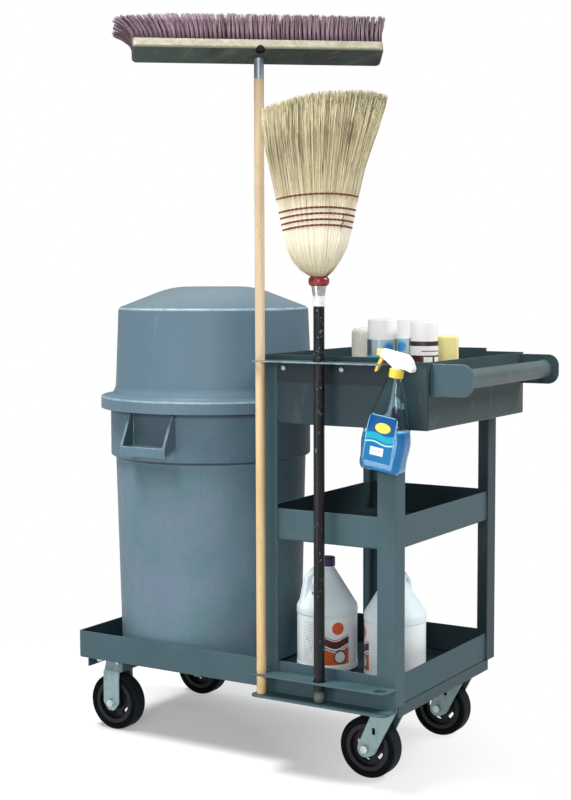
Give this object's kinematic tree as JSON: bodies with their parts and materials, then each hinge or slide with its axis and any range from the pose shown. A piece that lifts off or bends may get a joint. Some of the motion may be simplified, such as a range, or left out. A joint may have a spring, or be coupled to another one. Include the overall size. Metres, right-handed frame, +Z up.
{
  "type": "janitorial cart",
  "caption": "Steel janitor's cart on rigid and swivel casters with a lidded waste barrel, tiered trays, push handle and tool brackets holding brooms, a spray bottle and supplies.",
  "frame": {"origin": "on the floor, at the bottom centre of the whole cart's bounding box", "axes": "+Z up, +X towards the push handle, -Y towards the side with the tool brackets"},
  "size_m": [1.247, 0.8785, 1.9509],
  "materials": {
    "steel_paint": "satin slate blue-grey paint, worn at the edges",
    "zinc": "dull zinc plate",
    "bolt_zinc": "zinc plate",
    "tyre": "black rubber, greyed tread",
    "core_black": "black moulded core",
    "barrel_plastic": "blue-grey moulded plastic",
    "lid_plastic": "blue-grey moulded plastic",
    "pale_wood": "lacquered pale wood",
    "block_wood": "dark stained hardwood",
    "bristle": "mauve synthetic bristle",
    "tip_steel": "turned steel",
    "black_handle": "black paint, flaking to bare wood at the foot",
    "ferrule_metal": "drawn metal",
    "collar_red": "red plastic",
    "corn_straw": "dry broom corn with stitching",
    "clear_plastic": "clear moulded plastic",
    "white_plastic": "white moulded plastic",
    "yellow_plastic": "yellow moulded plastic",
    "jug_plastic": null,
    "cap_blue": "dark blue plastic",
    "canister_skin": "printed canister, white cap",
    "jar_skin": "printed can, white cap",
    "paper": "brown paper",
    "sponge_foam": "yellow cellulose foam"
  },
  "bodies": {
    "cart": {"deck_tray": "steel_paint", "left_bolster": "steel_paint", "right_bolster": "steel_paint", "leg_front_left": "steel_paint", "leg_rear_left": "steel_paint", "leg_front_right": "steel_paint", "leg_rear_right": "steel_paint", "middle_tray": "steel_paint", "top_tray": "steel_paint", "handle_plate_front": "steel_paint", "handle_plate_rear": "steel_paint", "handle_tube": "steel_paint", "upper_tool_bracket": "steel_paint", "lower_tool_bracket": "steel_paint", "bracket_bolts": "bolt_zinc", "caster_bolts": "bolt_zinc", "kingpins": "bolt_zinc", "swivel_balls": "bolt_zinc", "rigid_fork_front": "zinc", "rigid_axle_front": "bolt_zinc", "swivel_plate_front": "zinc", "rigid_fork_rear": "zinc", "rigid_axle_rear": "bolt_zinc", "swivel_plate_rear": "zinc"},
    "rigid_wheel_front": {"rigid_tyre_front": "tyre", "rigid_wheel_core_front": "core_black"},
    "swivel_front": {"swivel_fork_front": "zinc", "swivel_axle_front": "bolt_zinc"},
    "swivel_wheel_front": {"swivel_tyre_front": "tyre", "swivel_wheel_core_front": "core_black"},
    "rigid_wheel_rear": {"rigid_tyre_rear": "tyre", "rigid_wheel_core_rear": "core_black"},
    "swivel_rear": {"swivel_fork_rear": "zinc", "swivel_axle_rear": "bolt_zinc"},
    "swivel_wheel_rear": {"swivel_tyre_rear": "tyre", "swivel_wheel_core_rear": "core_black"},
    "barrel": {"barrel": "barrel_plastic"},
    "lid": {"barrel_lid": "lid_plastic"},
    "push_broom": {"push_broom_handle": "pale_wood", "push_broom_tip": "tip_steel", "push_broom_block": "block_wood", "push_broom_bristles": "bristle"},
    "corn_broom": {"corn_broom_handle": "black_handle", "corn_broom_ferrule": "ferrule_metal", "corn_broom_collar": "collar_red", "corn_broom_head": "corn_straw"},
    "spray": {"spray_bottle": "clear_plastic", "spray_collar": "yellow_plastic", "spray_head": "white_plastic"},
    "trigger": {"spray_trigger": "yellow_plastic"},
    "nozzle": {"spray_nozzle": "yellow_plastic"},
    "jug_left": {"jug_left": "jug_plastic"},
    "jug_cap_left": {"jug_cap_left": "cap_blue"},
    "jug_right": {"jug_right": "jug_plastic"},
    "jug_cap_right": {"jug_cap_right": "cap_blue"},
    "canister_front": {"canister_front": "canister_skin"},
    "canister_rear": {"canister_rear": "canister_skin"},
    "jar_can": {"jar_can": "jar_skin"},
    "paper_roll": {"paper_roll": "paper"},
    "sponge": {"sponge": "sponge_foam"}
  },
  "joints": [
    {"name": "rigid_wheel_front_spin", "type": "hinge", "parent": "cart", "child": "rigid_wheel_front", "pos_m": [-0.5115, -0.07944, 0.08], "axis": [0, 1, 0], "continuous": true},
    {"name": "swivel_front_turn", "type": "hinge", "parent": "cart", "child": "swivel_front", "pos_m": [0.3705, -0.07944, 0.194], "axis": [0, 0, 1], "continuous": true},
    {"name": "swivel_wheel_front_spin", "type": "hinge", "parent": "swivel_front", "child": "swivel_wheel_front", "pos_m": [0.3125, -0.07944, 0.08], "axis": [0, 1, 0], "continuous": true},
    {"name": "rigid_wheel_rear_spin", "type": "hinge", "parent": "cart", "child": "rigid_wheel_rear", "pos_m": [-0.5115, 0.34656, 0.08], "axis": [0, 1, 0], "continuous": true},
    {"name": "swivel_rear_turn", "type": "hinge", "parent": "cart", "child": "swivel_rear", "pos_m": [0.3705, 0.34656, 0.194], "axis": [0, 0, 1], "continuous": true},
    {"name": "swivel_wheel_rear_spin", "type": "hinge", "parent": "swivel_rear", "child": "swivel_wheel_rear", "pos_m": [0.3125, 0.34656, 0.08], "axis": [0, 1, 0], "continuous": true},
    {"name": "barrel_lift", "type": "slide", "parent": "cart", "child": "barrel", "axis": [0, 0, 1], "range_m": [0, 0.3]},
    {"name": "lid_lift", "type": "slide", "parent": "barrel", "child": "lid", "axis": [0, 0, 1], "range_m": [0, 0.4]},
    {"name": "push_broom_lift", "type": "slide", "parent": "cart", "child": "push_broom", "axis": [0, 0, 1], "range_m": [0, 0.9]},
    {"name": "corn_broom_lift", "type": "slide", "parent": "cart", "child": "corn_broom", "axis": [0, 0, 1], "range_m": [0, 0.9]},
    {"name": "spray_unhook", "type": "slide", "parent": "cart", "child": "spray", "axis": [0.515, 0, 0.8572], "range_m": [0, 0.15]},
    {"name": "trigger_squeeze", "type": "hinge", "parent": "spray", "child": "trigger", "pos_m": [0.42101, -0.20744, 1.09708], "axis": [0, -1, 0], "range_deg": [0, 16], "stiffness_Nm_per_rad": 0.08},
    {"name": "nozzle_twist", "type": "hinge", "parent": "spray", "child": "nozzle", "pos_m": [0.41048, -0.20744, 1.10693], "axis": [0.9866, 0, -0.1633], "continuous": true},
    {"name": "jug_left_lift", "type": "slide", "parent": "cart", "child": "jug_left", "axis": [0, 0, 1], "range_m": [0, 0.045]},
    {"name": "jug_cap_left_lift", "type": "slide", "parent": "jug_left", "child": "jug_cap_left", "axis": [0, 0, 1], "range_m": [0, 0.03]},
    {"name": "jug_right_lift", "type": "slide", "parent": "cart", "child": "jug_right", "axis": [0, 0, 1], "range_m": [0, 0.045]},
    {"name": "jug_cap_right_lift", "type": "slide", "parent": "jug_right", "child": "jug_cap_right", "axis": [0, 0, 1], "range_m": [0, 0.03]},
    {"name": "canister_front_lift", "type": "slide", "parent": "cart", "child": "canister_front", "axis": [0, 0, 1], "range_m": [0, 0.25]},
    {"name": "canister_rear_lift", "type": "slide", "parent": "cart", "child": "canister_rear", "axis": [0, 0, 1], "range_m": [0, 0.25]},
    {"name": "jar_can_lift", "type": "slide", "parent": "cart", "child": "jar_can", "axis": [0, 0, 1], "range_m": [0, 0.25]},
    {"name": "paper_roll_lift", "type": "slide", "parent": "cart", "child": "paper_roll", "axis": [0, 0, 1], "range_m": [0, 0.25]},
    {"name": "sponge_lift", "type": "slide", "parent": "cart", "child": "sponge", "axis": [0, 0, 1], "range_m": [0, 0.25]}
  ]
}
